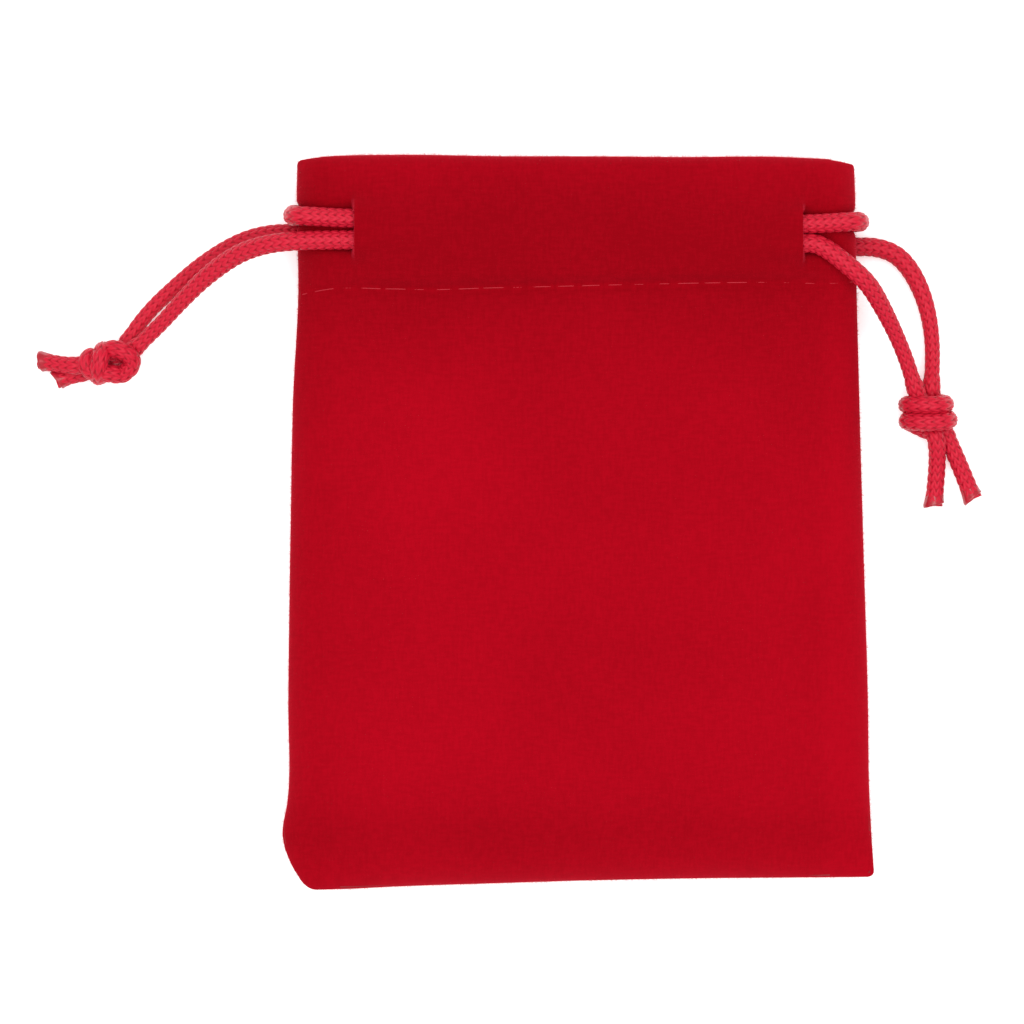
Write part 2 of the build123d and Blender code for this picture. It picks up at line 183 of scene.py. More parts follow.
class ClothSettings(bpy.types.PropertyGroup):
    """Sizes and colours of the velvet."""

    thickness: bpy.props.FloatProperty(
        name="Thickness", description="Thickness of the velvet and its pile",
        default=0.6 * MM, unit="LENGTH")
    allowance: bpy.props.FloatProperty(
        name="Seam allowance", description="Width of the cloth turned in at a seam",
        default=4.0 * MM, unit="LENGTH")
    pile: bpy.props.FloatVectorProperty(
        name="Pile", description="Colour of the pile seen from above",
        default=(0.245, 0.0004, 0.0045), subtype="COLOR", size=3)
    # Lit copy of the pile's colour: painted sheen where the pile lies towards the light.
    pile_lit: bpy.props.FloatVectorProperty(
        name="Brushed pile", description="Colour of the pile where it is brushed towards the light",
        default=(0.375, 0.0010, 0.0085), subtype="COLOR", size=3)
    # Painted sheen: the pile's colour where the cloth turns away from the camera at its edges.
    rim_sheen: bpy.props.FloatVectorProperty(
        name="Pile at the edges", description="Colour of the pile seen against the light",
        default=(0.85, 0.020, 0.060), subtype="COLOR", size=3)
    backing: bpy.props.FloatVectorProperty(
        name="Backing", description="Colour of the knitted back of the velvet",
        default=(0.30, 0.004, 0.012), subtype="COLOR", size=3)


class CordSettings(bpy.types.PropertyGroup):
    """Sizes and colours of the drawcords."""

    diameter: bpy.props.FloatProperty(
        name="Diameter", description="Diameter of a drawcord", default=2.4 * MM, unit="LENGTH")
    pitch: bpy.props.FloatProperty(
        name="Stitch length", description="Length of one knitted stitch along the cord",
        default=1.03 * MM, unit="LENGTH")
    wales: bpy.props.IntProperty(
        name="Wales", description="Columns of stitches round the cord", default=8)
    # Lit colour of the yarn: painted highlight on the tops of the stitches.
    light: bpy.props.FloatVectorProperty(
        name="Yarn", description="Colour of the top of each stitch",
        default=(0.57, 0.012, 0.034), subtype="COLOR", size=3)
    # Painted shade: the yarn darkened between the stitches and in the holes of their loops.
    deep: bpy.props.FloatVectorProperty(
        name="Yarn between stitches", description="Colour deep between the stitches",
        default=(0.20, 0.0005, 0.004), subtype="COLOR", size=3)


class ThreadSettings(bpy.types.PropertyGroup):
    """Sizes and colours of the sewing thread."""

    stitch: bpy.props.FloatProperty(
        name="Stitch length", description="From one needle hole to the next",
        default=3.0 * MM, unit="LENGTH")
    radius: bpy.props.FloatProperty(
        name="Thread radius", description="Radius of the twisted thread",
        default=0.065 * MM, unit="LENGTH")
    colour: bpy.props.FloatVectorProperty(
        name="Thread", description="Colour of the thread",
        default=(0.58, 0.025, 0.045), subtype="COLOR", size=3)


class StageSettings(bpy.types.PropertyGroup):
    """The floor, the light and the camera."""

    floor: bpy.props.FloatVectorProperty(
        name="Floor", description="Colour of the floor",
        default=(0.95, 0.95, 0.95), subtype="COLOR", size=3)
    camera_height: bpy.props.FloatProperty(
        name="Camera height", description="Height of the camera above the floor",
        default=0.95, unit="LENGTH")
    seen_width: bpy.props.FloatProperty(
        name="Seen width", description="Width that the camera sees at the pouch's middle height",
        default=0.1258, unit="LENGTH")


def settings(name):
    """The scene's settings of one kind."""
    return getattr(bpy.context.scene, name)


def smooth(t):
    """A share from 0 to 1 that starts and ends gently."""
    t = np.clip(t, 0.0, 1.0)
    return t * t * (3 - 2 * t)


def through(points, at):
    """A smooth curve through given points, read at one or many places."""
    xs, ys = (np.array(column) for column in zip(*points))
    slopes = np.gradient(ys, xs)
    at = np.clip(at, xs[0], xs[-1])
    i = np.clip(np.searchsorted(xs, at, side="right") - 1, 0, len(xs) - 2)
    width = xs[i + 1] - xs[i]
    t = (at - xs[i]) / width
    return (
        ys[i] * (1 + 2 * t) * (1 - t) ** 2
        + ys[i + 1] * t * t * (3 - 2 * t)
        + width * (slopes[i] * t * (1 - t) ** 2 - slopes[i + 1] * t * t * (1 - t))
    )


def softer_max(a, b, sharpness=2500.0):
    """The larger of two heights, with the corner between them rounded."""
    return np.logaddexp(a * sharpness, b * sharpness) / sharpness


def softer_min(a, b, sharpness=2500.0):
    """The smaller of two heights, with the corner between them rounded."""
    return -softer_max(-a, -b, sharpness)


# Cords


def in_frame(side, points):
    """A route given from a slit and the casing's lower wall, as points of the frame."""
    return [
        Vector((side * (SLIT_X + out), HEM_Y + up, FRONT_CORD_Z if z is None else z))
        for out, up, z in points
    ]


CORDS = {
    "left": {
        "side": -1, "lanes": LEFT_LANES,
        "knot": in_frame(-1, metres([(30.4, -9, 3)]))[0],
        "front": (LEFT_FRONT_TAIL, LEFT_KNOT_FRONT, LEFT_FRONT_END),
        "back": (LEFT_BACK_TAIL, LEFT_KNOT_BACK, LEFT_BACK_END),
    },
    "right": {
        "side": 1, "lanes": RIGHT_LANES,
        "knot": in_frame(1, metres([(15.6, -15, 3.1)]))[0],
        "front": (RIGHT_FRONT_TAIL, RIGHT_KNOT_FRONT, RIGHT_FRONT_END),
        "back": (RIGHT_BACK_TAIL, RIGHT_KNOT_BACK, RIGHT_BACK_END),
    },
}


def tail_start(name, face):
    """Where a strand comes out of its slit."""
    cord = CORDS[name]
    return (cord["side"] * SLIT_X, HEM_Y + cord["lanes"][face + "_tail"], CORD_LEVELS[face])


def tail_route(name, face):
    """A tail from the middle of the casing through its slit and its knot to its sealed end."""
    cord = CORDS[name]
    side = cord["side"]
    tail, turns, end = cord[face]
    _, lane, z = tail_start(name, face)
    hidden = [Vector((side * x, lane, z)) for x in (0.0040, 0.0158)]
    knot = [cord["knot"] + Vector(turn) for turn in turns]
    return hidden + in_frame(side, tail) + knot + in_frame(side, end)


def loop_route(name):
    """A cord's hidden run, its loop round the far side of the mouth, and its run back."""
    side, lanes = CORDS[name]["side"], CORDS[name]["lanes"]
    far = -side
    edge = {"left": 0.0343, "right": 0.0348}[name]
    lift = {"left": 0.0007, "right": -0.0007}[name]
    route = []
    for face, z in CORD_LEVELS.items():
        near, high = HEM_Y + lanes[face + "_tail"], HEM_Y + lanes[face + "_loop"]
        up = 1 if face == "front" else -1
        slope = -0.0004 if face == "front" else 0.0
        run = [
            (side * 0.0040, near, z + lift / 2),
            (side * 0.0018, near + 0.0002, z + lift),
            (far * 0.0018, high - 0.0004, z + lift),
            (far * 0.0050, high, z),
            (far * 0.0160, high, z),
            (far * SLIT_X, high + slope, z),
            (far * 0.0312, high + slope / 2, z),
            (far * (edge - 0.0001), high, z + up * 0.0001),
            (far * (edge + 0.0004), high, z - up * 0.0025),
        ]
        route += run[::up]
    return [Vector(p) for p in route]


def spline_line(points):
    """Points along one smooth spline with a route's points as its control points."""
    curve = bpy.data.curves.new("route", "CURVE")
    curve.dimensions = "3D"
    curve.resolution_u = 24
    spline = curve.splines.new("NURBS")
    spline.points.add(len(points) - 1)
    for target, point in zip(spline.points, points):
        target.co = (*point, 1.0)
    spline.order_u = 3
    spline.use_endpoint_u = True
    holder = bpy.data.objects.new("route", curve)
    mesh = bpy.data.meshes.new_from_object(holder)
    line = np.array([v.co for v in mesh.vertices])
    bpy.data.meshes.remove(mesh)
    bpy.data.objects.remove(holder)
    bpy.data.curves.remove(curve)
    return line


def evenly(line, step):
    """A line's points again, evenly spaced, with their distances along it."""
    lengths = np.linalg.norm(np.diff(line, axis=0), axis=1)
    along = np.concatenate([[0], np.cumsum(lengths)])
    at = np.linspace(0, along[-1], int(along[-1] / step) + 1)
    return np.stack([np.interp(at, along, line[:, k]) for k in range(3)], axis=1), at


def turning_frames(line):
    """Two directions across a line at each point, carried along it without twisting."""
    ahead = np.gradient(line, axis=0)
    ahead /= np.linalg.norm(ahead, axis=1)[:, None]
    side = np.cross(ahead[0], (0, 0, 1.0))
    if np.linalg.norm(side) < 0.1:
        side = np.cross(ahead[0], (1.0, 0, 0))
    sides = []
    for direction in ahead:
        side = side - direction * (side @ direction)
        side = side / np.linalg.norm(side)
        sides.append(side)
    sides = np.array(sides)
    return sides, np.cross(sides, ahead)


def knit_relief(turn, along, cord):
    """How proud the stitches stand, from 0 to 1, and how deep the holes inside their loops are."""
    wale = turn * cord.wales
    across = np.abs(wale - np.floor(wale) - 0.5) * 2
    course = along / cord.pitch + 0.62 * across + turn
    step = np.abs(course - np.floor(course) - 0.5) * 2
    leg = np.sqrt(np.clip(1 - step ** 2, 0, 1))
    column = np.sqrt(np.clip(1 - (across * 0.93) ** 2, 0, 1))
    groove = 1 - 0.25 * np.exp(-((across / 0.16) ** 2))
    hole = np.exp(-((across / 0.34) ** 2)) * np.clip(step * 1.5 - 0.5, 0, 1) ** 1.5
    return leg * (0.30 + 0.70 * column) * groove, hole


def grid(across, along):
    """A flat sheet of squares, with each vertex's column and row."""
    bm = bmesh.new()
    bmesh.ops.create_grid(bm, x_segments=across, y_segments=along, size=0.5)
    bm.verts.ensure_lookup_table()
    spots = np.array([v.co[:2] for v in bm.verts])
    column = np.rint((spots[:, 0] + 0.5) * across).astype(int)
    row = np.rint((spots[:, 1] + 0.5) * along).astype(int)
    return bm, column, row


def lay_uv(bm, u, v):
    """Writes each vertex's place on the sheet into the mesh's UV map."""
    layer = bm.loops.layers.uv.new("UVMap")
    for face in bm.faces:
        for corner in face.loops:
            corner[layer].uv = (u[corner.vert.index], v[corner.vert.index])


def set_places(bm, places, label=None, values=()):
    """Moves every vertex, and writes a value of each one under a label."""
    layer = bm.verts.layers.float.new(label) if label else None
    for vert, place in zip(bm.verts, places):
        vert.co = place
    for vert, value in zip(bm.verts, values):
        vert[layer] = value


def rolled(spots, row, angle, radius, flat=1.0):
    """Places round a line: at an angle and a radius from the line's point of each row."""
    sides, ups = turning_frames(spots)
    return (
        spots[row]
        + sides[row] * (radius * np.cos(angle))[:, None]
        + ups[row] * (flat * radius * np.sin(angle))[:, None]
    )


def close_ends(bm, gap=0.001 * MM):
    """Joins the edges of a rolled sheet, fills its open ends and points its faces outwards."""
    bmesh.ops.remove_doubles(bm, verts=bm.verts, dist=gap)
    rims = [edge for edge in bm.edges if edge.is_boundary]
    bmesh.ops.holes_fill(bm, edges=rims, sides=0)
    bmesh.ops.recalc_face_normals(bm, faces=bm.faces)


def to_object(name, bm, materials):
    """A finished mesh as an object at the origin, shaded smooth."""
    mesh = bpy.data.meshes.new(name)
    bm.to_mesh(mesh)
    bm.free()
    for material in materials:
        mesh.materials.append(material)
    mesh.polygons.foreach_set("use_smooth", [True] * len(mesh.polygons))
    piece = bpy.data.objects.new(name, mesh)
    bpy.context.scene.collection.objects.link(piece)
    return piece


def drawn_thin(spots, middle):
    """A cord's share of its full thickness: a tight knot stretches it, and it recovers past it."""
    away = np.linalg.norm(spots - np.array(middle), axis=1)
    past = np.arange(len(spots)) >= np.argmin(away)
    tight = 1 - 0.20 * smooth((0.020 - away) / 0.012) + 0.15 * smooth((0.0052 - away) / 0.0015)
    return tight + 0.10 * past * smooth((away - 0.0035) / 0.0015)


def crossing_squash(spots):
    """A cord's share of its height, pressed flat where it crosses the other one."""
    return 1 - 0.45 * smooth((0.0052 - np.abs(spots[:, 0])) / 0.003)


def knitted_cord(name, line, squash=None, slim=None):
    """A tube of knitted stitches along a line.

    squash gives its height share and slim its share of full thickness, at each point.
    """
    cord = settings("pouch_cord")
    around = 8 * cord.wales
    spots, along = evenly(line, CORD_STEP)
    bm, column, row = grid(around, len(spots) - 1)
    turn = column / around
    relief, hole = knit_relief(turn % 1.0, along[row], cord)
    radius = cord.diameter / 2 * (0.82 + 0.20 * relief - 0.05 * hole)
    if slim is not None:
        radius = radius * slim(spots)[row]
    places = rolled(spots, row, 2 * math.pi * turn, radius)
    if squash is not None:
        share = squash(spots)[row]
        places[:, 2] = spots[row, 2] + (places[:, 2] - spots[row, 2]) * share
    lay_uv(bm, turn * cord.wales, along[row] / cord.pitch)
    # Share of painted highlight on the stitch tops and of painted shade between them and in the holes
    # of their loops.
    set_places(bm, places, "relief", (0.45 + 0.55 * relief) * (1 - 0.95 * hole))
    close_ends(bm)
    return to_object(name, bm, [material("knitted cord")]), spots


def cord_end(name, line, slim, length=1.5 * MM):
    """A heat-sealed end: the cord's last stretch, flared, cut at a slant and melted smooth."""
    cord = settings("pouch_cord")
    spots, along = evenly(line, 0.12 * MM)
    spots = spots[along > along[-1] - length]
    rows = len(spots) - 1
    around = 40
    bm, column, row = grid(around, rows)
    share = row / rows
    angle = 2 * math.pi * column / around
    ridge = 0.05 * np.cos(cord.wales * angle) * (1 - share)
    radius = cord.diameter / 2 * (0.96 * slim(spots)[row] + 0.24 * share ** 1.6 + ridge)
    radius *= 1 - 0.12 * smooth((share - 0.85) / 0.15)
    ahead = spots[-1] - spots[-3]
    ahead /= np.linalg.norm(ahead)
    slant = 0.45 * MM * np.cos(angle) * share ** 2
    places = rolled(spots, row, angle, radius, flat=0.92) + ahead * slant[:, None]
    for vert, place in zip(bm.verts, places):
        wobble = noise.noise(Vector(place) * 1400) * 0.07 * MM
        vert.co = Vector(place) + Vector(ahead) * wobble
    close_ends(bm)
    caps = [face for face in bm.faces if len(face.verts) > 4]
    poked = bmesh.ops.poke(bm, faces=caps)
    for vert in poked["verts"]:
        if (Vector(spots[-1]) - vert.co).length < cord.diameter / 2:
            vert.co -= Vector(ahead) * 0.18 * MM
    bmesh.ops.recalc_face_normals(bm, faces=bm.faces)
    return to_object(name, bm, [material("sealed cord")])


# Cloth


def edge_at(side, y):
    """How far out the pouch's side is, pulled in where a loop goes round it."""
    shape = RIGHT_EDGE if side > 0 else LEFT_EDGE
    lanes = LEFT_LANES if side > 0 else RIGHT_LANES
    loop_y = HEM_Y + (lanes["front_loop"] + lanes["back_loop"]) / 2
    return 1.004 * through(shape, y) - 1.15 * MM * np.exp(-(((y - loop_y) / (0.95 * MM)) ** 2))


def seam_height(y):
    """Height of the side seam: low along the body, half way up the casing at the mouth."""
    return 4.0 * MM + 2.2 * MM * smooth((y - 0.008) / 0.020)


def swell(inward, reach):
    """The cloth's share of its full height at a distance in from a seam."""
    tight = np.clip(inward / 0.003, 0, 1)
    wide = np.clip(inward / reach, 0, 1)
    return 0.30 * np.sqrt(1 - (1 - tight) ** 2) + 0.70 * (1 - (1 - wide) ** 2.2)


def outer_lanes(side, face):
    """Paths of the strands that lie against a side strip, as points of their centre lines."""
    own, other = (CORDS[name] for name, _ in SIDES[::-side])  # this side's cord first
    lanes = (own["lanes"][face + "_tail"], other["lanes"][face + "_loop"])
    return [spline_line(in_frame(side, own[face][0]))] + [
        np.array([(side * x, HEM_Y + lane, CORD_LEVELS[face]) for x in (0.004, 0.036)])
        for lane in lanes
    ]


def nearest_on(path, x, y):
    """Distance in plan from many places to a path, and the path's height there."""
    best = np.full(x.shape, 1.0)
    height = np.zeros(x.shape)
    for a, b in zip(path[:-1], path[1:]):
        run = b[:2] - a[:2]
        t = np.clip(((x - a[0]) * run[0] + (y - a[1]) * run[1]) / (run @ run + 1e-18), 0, 1)
        away = np.hypot(x - a[0] - t * run[0], y - a[1] - t * run[1])
        nearer = away < best
        best = np.where(nearer, away, best)
        height = np.where(nearer, a[2] + t * (b[2] - a[2]), height)
    return best, height


def front_height(side, x, y, inward, past_slit):
    """Height of the front's outer face."""
    low = seam_height(y)
    hem = through(HEM_LINE, side * x)
    level = through(FRONT_LEVEL, y) - 0.8 * MM * np.exp(-(((y - hem) / (0.9 * MM)) ** 2))
    up_from_bottom = y - through(BOTTOM_EDGE, side * x)
    rise = swell(inward, 0.020) * swell(up_from_bottom, 0.014)
    z = low + (level - low) * rise
    for path in outer_lanes(side, "front"):
        away, cord_z = nearest_on(path, side * x, y)
        under = cord_z - CORD_RADIUS - 0.10 * MM + away ** 2 / (2.0 * MM)
        over = cord_z + CORD_RADIUS + 0.75 * MM - away ** 2 / (4.2 * MM)
        over = over - 0.9 * MM * (1 - smooth((x - 0.003) / 0.020))
        inside = softer_max(z, over)
        z = np.where(past_slit, softer_min(z, under), np.where(x > SLIT_X + MM, z, inside))
    return z


def back_height(side, x, y, inward, past_slit):
    """Height of the back's outer face, which lies on the floor."""
    low = seam_height(y)
    up_from_bottom = y - through(BOTTOM_EDGE, side * x)
    rise = swell(inward, 0.0065) * swell(up_from_bottom, 0.0065)
    hem = through(HEM_LINE, side * x)
    pinch = 0.35 * MM * np.exp(-(((y - hem) / (0.9 * MM)) ** 2))
    z = low + (LEAST_HEIGHT + pinch - low) * rise
    for path in outer_lanes(side, "back"):
        away, cord_z = nearest_on(path, side * x, y)
        over = cord_z + CORD_RADIUS + 0.10 * MM - away ** 2 / (3.4 * MM)
        z = np.where(past_slit, softer_max(z, over), z)
    return z


def throat_height(face, x):
    """Height of the hem's inner layer, which closes towards the sides."""
    open_z, shut_z = {"front": (0.0084, 0.0066), "back": (0.0040, 0.0058)}[face]
    return open_z + (shut_z - open_z) * smooth((x - 0.016) / 0.015)


def columns_across():
    """Places of the columns: how far across in millimetres, then shares of the way round the side."""
    flat = [*np.arange(0, 23.5, 0.62), *np.arange(23.5, 27.4, 0.33), SLIT_COLUMN]
    return flat + list(np.arange(27.83, 31.0, 0.33)), list(np.linspace(0, 1, 13)[1:])


def by_kind(kinds, otherwise, **values):
    """Each vertex's value, by the kind of row or column that it is in."""
    return np.select([kinds == kind for kind in values], list(values.values()), otherwise)


def panel_half(name, face, side):
    """Half of a panel: its outer face, the hem folded into the mouth and its seam allowances."""
    cloth = settings("pouch_cloth")
    flat, bend = columns_across()
    turned = [0.25, 0.6, 1.2, 2.4, cloth.allowance / MM]
    across = [("flat", u * MM) for u in flat] + [("bend", t) for t in bend]
    across += [("turned", t * MM) for t in turned]
    body = list(np.arange(0.0, 68.0, 0.70)) + list(np.arange(68.0, 86.6, 0.36))
    along = [("turned", t * MM) for t in turned[::-1]] + [("edge", t) for t in np.linspace(1, 0, 9)]
    along += [("body", t * MM) for t in body[1:]]
    along += [("fold", t) for t in np.linspace(0, 1, 15)]
    along += [("hem", t * MM) for t in np.arange(0.6, 15.4, 0.6)]
    bm, column, row = grid(len(across) - 1, len(along) - 1)

    kinds_u = np.array([kind for kind, _ in across])[column]
    values_u = np.array([value for _, value in across])[column]
    kinds_v = np.array([kind for kind, _ in along])[row]
    values_v = np.array([value for _, value in along])[row]

    # Along the pouch: from the bottom edge up to where the fold of the mouth starts
    quarter_u, quarter_v = values_u * math.pi / 2, values_v * math.pi / 2
    x_guess = by_kind(kinds_u, values_u,
                      bend=USUAL_HALF - SIDE_BEND * (1 - np.sin(quarter_u)),
                      turned=USUAL_HALF - values_u)
    bottom = through(BOTTOM_EDGE, side * x_guess)
    mouth = through(MOUTH_EDGE, side * x_guess)
    start, top = bottom + BOTTOM_ROLL, mouth - MOUTH_FOLD
    y = by_kind(kinds_v, start + (top - start) * values_v / (body[-1] * MM),
                edge=bottom + BOTTOM_ROLL * (1 - np.sin(quarter_v)),
                turned=bottom + values_v,
                fold=top + MOUTH_FOLD * np.sin(2 * quarter_v),
                hem=top - values_v)

    # Across it: from the middle, past the slit and round the side edge
    inset = by_kind(kinds_v, 0, fold=HEM_INSET * smooth(2 * values_v - 1), hem=HEM_INSET)
    limit = edge_at(side, np.clip(y, -0.05, 0.045)) - inset
    stretch = (limit - SIDE_BEND - SLIT_X) / (flat[-1] * MM - SLIT_X)
    past = SLIT_X + (values_u - SLIT_X) * stretch
    x = by_kind(kinds_u, np.where(values_u <= SLIT_X, values_u, past),
                bend=limit - SIDE_BEND * (1 - np.sin(quarter_u)),
                turned=limit - values_u)

    # Heights
    inward = np.clip(limit - x, 0, 1)
    inward = np.where(kinds_u == "turned", 0, inward)
    past_slit = (x > SLIT_X + 0.0001) & (y > HEM_Y + 2.5 * MM)
    height, gap = {
        "front": (front_height, LEAST_HEIGHT), "back": (back_height, -LEAST_HEIGHT),
    }[face]
    y_on = np.clip(y, -0.05, 0.0445)
    still = np.maximum(x - 0.7 * MM, 0)
    z = height(side, still, y_on, inward, past_slit)
    seam = seam_height(y_on)
    inner = throat_height(face, still)
    inner = seam + (inner - seam) * swell(inward, 0.004)
    middle = (z + inner) / 2
    z = by_kind(kinds_v, z, fold=middle + (z - middle) * np.cos(2 * quarter_v), hem=inner)
    in_seam = (kinds_u == "turned") | (kinds_v == "turned")
    z = np.where(in_seam, seam + gap, z)

    # Corners
    new_inward, new_up = rounded(limit - x, y - bottom, CORNER_ROUNDS[side, "bottom"])
    x, y = limit - new_inward, bottom + new_up
    new_inward, new_down = rounded(limit - x, mouth - y, CORNER_ROUNDS[side, "mouth"])
    x, y = limit - new_inward, mouth - new_down
    # Each vertex keeps its share of painted sheen and shade.
    set_places(bm, np.stack([side * x, y, z], axis=1), "nap", nap_sheen_at(side * x, y))
    from_edges = np.minimum(limit - x, y - bottom)
    ripple(bm, np.where(in_seam, 0, smooth(from_edges / (4 * MM))), face)
    pressed = height(side, still + 0.2 * MM, y_on, inward, np.full(x.shape, True))

    u_cloth = np.where(kinds_u == "turned", limit + values_u, x)
    v_cloth = by_kind(kinds_v, y, turned=bottom - values_v,
                      fold=top + MOUTH_FOLD * math.pi * values_v,
                      hem=top + MOUTH_FOLD * math.pi + values_v)
    lay_uv(bm, 100 * side * u_cloth, 100 * v_cloth)

    clear = 5.5 * MM
    no_side_seam = (y - bottom < clear) | (mouth - y < clear) | (kinds_v == "hem")
    no_bottom_seam = limit - x < clear
    spare = []
    for panel in bm.faces:
        spots = [v.index for v in panel.verts]
        in_side = any(kinds_u[i] == "turned" for i in spots)
        in_bottom = any(kinds_v[i] == "turned" for i in spots)
        if in_side and any(no_side_seam[i] for i in spots):
            spare.append(panel)
        elif in_bottom and any(no_bottom_seam[i] for i in spots):
            spare.append(panel)
    open_slit(bm, column, flat.index(SLIT_COLUMN), kinds_v, y, pressed, side)
    bmesh.ops.delete(bm, geom=spare, context="FACES")
    if (face == "front") != (side > 0):
        bmesh.ops.reverse_faces(bm, faces=bm.faces)
    piece = to_object(name, bm, [material("pile velvet"), material("velvet backing")])
    thicken(piece, cloth.thickness)
    return piece


def nap_sheen_at(x, y):
    """Painted sheen and shade on the velvet: how far each place is painted towards the lit colour of
    the pile, following where hands and the hem have brushed it.
    """
    # Painted lightest along the bottom edge, painted darkest on the casing below the mouth.
    along = through([(-0.045, 0.62), (-0.042, 0.48), (-0.0385, 0.32), (-0.034, 0.52), (-0.015, 0.50),
                     (0.010, 0.48), (0.020, 0.32), (0.026, 0.14), (0.029, 0.03), (0.037, -0.03),
                     (0.041, 0.12), (0.045, 0.36)], y)
    on_body = smooth((0.027 - y) / 0.012)
    # A patch of painted light on the left of the body and painted shade low in the middle.
    left_painted_sheen = 0.16 * np.exp(-(((x + 0.019) / 0.009) ** 2 + ((y - 0.004) / 0.030) ** 2))
    middle_painted_shade = 0.10 * np.exp(-(((x - 0.004) / 0.008) ** 2 + ((y + 0.022) / 0.022) ** 2))
    # Painted sheen along the right side's edge and painted shade along the left side's edge.
    edges = smooth((np.abs(x) - 0.029) / 0.003) * np.where(x < 0, -0.08, 0.20)
    return along + on_body * (left_painted_sheen - middle_painted_shade) + edges


def open_slit(bm, column, slit_column, kinds_v, y, pressed, side):
    """Cuts the panel where the cords come out and lays the outer lip under them."""
    low, high = HEM_Y + 4.9 * MM, HEM_Y + 9.9 * MM
    place = bm.verts.layers.int.new("column")
    lowered = bm.verts.layers.float.new("pressed")
    for vert in bm.verts:
        vert[place] = int(column[vert.index])
        vert[lowered] = float(pressed[vert.index])
    cut = []
    for edge in bm.edges:
        spots = [v.index for v in edge.verts]
        if all(column[i] == slit_column and kinds_v[i] == "body" for i in spots):
            if all(low < y[i] < high for i in spots):
                cut.append(edge)
    bmesh.ops.split_edges(bm, edges=cut)
    for vert in bm.verts:
        if vert[place] == slit_column and vert.is_boundary:
            if all(v[place] >= slit_column for panel in vert.link_faces for v in panel.verts):
                vert.co.z = vert[lowered]
                vert.co.x += side * 0.08 * MM


def rounded(inward, up, size):
    """Distances from two edges, moved so that the corner between them follows a round."""
    width, length = size
    across = np.clip(1 - inward / width, 0, 1)
    along = np.clip(1 - up / length, 0, 1)
    new_inward = np.where(across > 0, width * (1 - across * np.sqrt(1 - along ** 2 / 2)), inward)
    new_up = np.where(along > 0, length * (1 - along * np.sqrt(1 - across ** 2 / 2)), up)
    return new_inward, new_up


def ripple(bm, free, face):
    """Gives the cloth the faint unevenness of soft velvet, where no seam holds it flat."""
    for vert, share in zip(bm.verts, free):
        spot = Vector((vert.co.x * 60, vert.co.y * 45, 3.0 if face == "front" else 9.0))
        fine = Vector((vert.co.x * 420, vert.co.y * 420, 5.0))
        lift = 0.22 * noise.noise(spot) + 0.03 * noise.noise(fine)
        if face == "back":
            lift = abs(lift) * 0.4
        vert.co.z += share * lift * MM


def thicken(piece, thickness):
    """Gives a cloth its thickness, inwards, keeps it off the floor and its cut ends crisp."""
    shell = piece.modifiers.new("Thickness", "SOLIDIFY")
    shell.thickness = thickness
    shell.offset = -1
    shell.use_rim = True
    shell.material_offset = 1
    shell.material_offset_rim = 0
    depsgraph = bpy.context.evaluated_depsgraph_get()
    mesh = bpy.data.meshes.new_from_object(piece.evaluated_get(depsgraph))
    piece.modifiers.clear()
    old = piece.data
    piece.data = mesh
    mesh.name = piece.name
    bpy.data.meshes.remove(old)
    bm = bmesh.new()
    bm.from_mesh(mesh)
    for vert in bm.verts:
        vert.co.z = max(vert.co.z, LEAST_HEIGHT)
    for edge in bm.edges:
        if len(edge.link_faces) == 2 and edge.calc_face_angle() > math.radians(55):
            edge.smooth = False
    bm.to_mesh(mesh)
    bm.free()


def loose_pile(name, piece, count):
    """Single fibres of the pile that stand out from a panel wherever it turns over an edge."""
    chance = np.random.default_rng(count)
    turning = [
        p for p in piece.data.polygons
        if abs(p.normal.z) < 0.55 and p.material_index == 0 and abs(p.center.x) > MM
        and not (abs(abs(p.center.x) - SLIT_X) < 1.2 * MM and HEM_Y < p.center.y < MOUTH_Y - 3 * MM)
    ]
    areas = np.array([p.area for p in turning])
    chosen = chance.choice(len(turning), size=count, p=areas / areas.sum())
    bm, column, row = grid(3, 2 * count - 1)
    spare = [face for face in bm.faces if min(row[v.index] for v in face.verts) % 2 == 1]
    lengths = chance.uniform(0.12, 0.34, count) * MM
    slides = chance.normal(0, 0.25 * MM, (count, 3))
    leans = chance.normal(0, 0.35, (count, 3))
    for vert, k, turn in zip(bm.verts, row, column):
        face = turning[chosen[k // 2]]
        out = (face.normal + Vector(leans[k // 2])).normalized()
        across = out.orthogonal().normalized()
        angle = 2 * math.pi * turn / 3
        spoke = across * math.cos(angle) + out.cross(across) * math.sin(angle)
        slide = Vector(slides[k // 2])
        root = face.center + slide - face.normal * slide.dot(face.normal)
        if k % 2:
            vert.co = root + out * lengths[k // 2] + spoke * 0.005 * MM
        else:
            vert.co = root - out * 0.05 * MM + spoke * 0.016 * MM
        vert.co.z = max(vert.co.z, 0.01 * MM)
    bmesh.ops.delete(bm, geom=spare, context="FACES_ONLY")
    close_ends(bm, gap=0.0005 * MM)
    return to_object(name, bm, [material("loose pile")])


# Sewing thread


def thread_row(name, places, up, radius):
    """A row of stitches: two-ply thread that dips into the cloth at each needle hole."""
    stitch = settings("pouch_thread").stitch
    spots, along = evenly(np.array(places), THREAD_STEP)
    chance = random.Random(name)
    sunk = np.array([chance.uniform(0.3, 1.5) for _ in range(int(along[-1] / stitch) + 2)])
    share = along / stitch
    over = np.sqrt(np.abs(np.sin(math.pi * share)))
    lift = radius * (2.3 * over - 1.6 - sunk[share.astype(int)])
    spots = spots + np.array(up) * lift[:, None]
    around = 8
    bm, column, row = grid(around, len(spots) - 1)
    angle = 2 * math.pi * column / around
    twist = 2 * math.pi * along[row] / (0.9 * MM)
    thick = radius * (0.82 + 0.18 * np.cos(2 * (angle - twist)))
    set_places(bm, rolled(spots, row, angle, thick))
    close_ends(bm)
    return to_object(name, bm, [material("sewing thread")])


